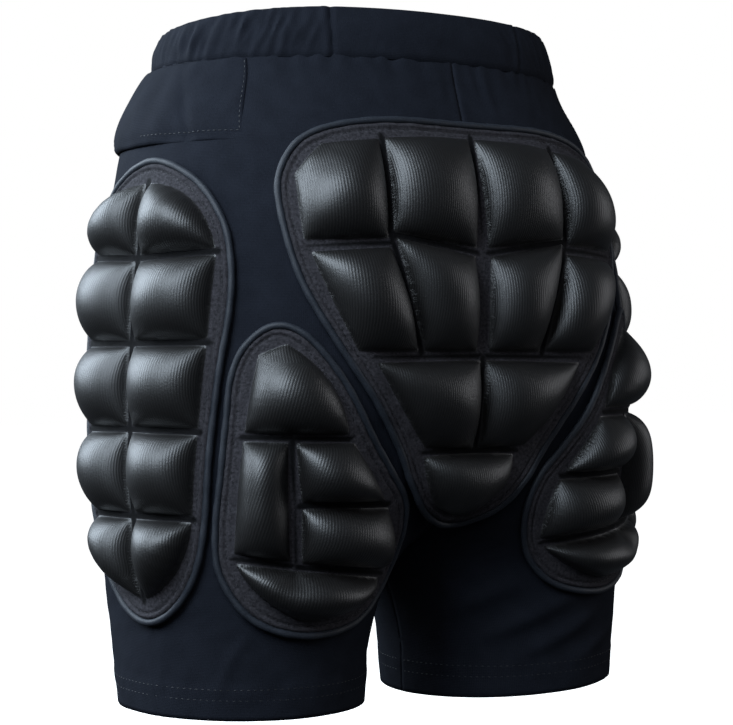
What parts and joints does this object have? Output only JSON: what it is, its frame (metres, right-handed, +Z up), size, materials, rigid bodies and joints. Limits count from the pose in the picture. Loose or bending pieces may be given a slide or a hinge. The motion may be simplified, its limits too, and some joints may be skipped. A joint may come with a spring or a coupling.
{
  "type": "hip pad",
  "caption": "Padded knit shorts in worn form: quilted foam pads with bound edges over the tailbone, hips and thigh backs, elastic waistband and side pockets.",
  "frame": {"origin": "middle of the waist, 20 mm below the top edge of the waistband", "axes": "+Z up, the wearer faces -Y, and the wearer's left side is at +X"},
  "size_m": [0.3898, 0.2518, 0.405],
  "materials": {
    "knit": "matte blue-black jersey",
    "cover": "black warp knit with a soft sheen",
    "binding": "matte dark blue-grey tape"
  },
  "bodies": {
    "root": {"waistband": "knit", "back_panel_left": "knit", "back_panel_right": "knit", "front_panel_left": "knit", "front_panel_right": "knit", "side_pocket_left": "knit", "side_pocket_right": "knit", "tail_pad": "cover", "hip_pad_left": "cover", "hip_pad_right": "cover", "thigh_pad_left": "cover", "thigh_pad_right": "cover", "tail_binding": "binding", "hip_binding_left": "binding", "hip_binding_right": "binding", "thigh_binding_left": "binding", "thigh_binding_right": "binding"}
  },
  "joints": []
}
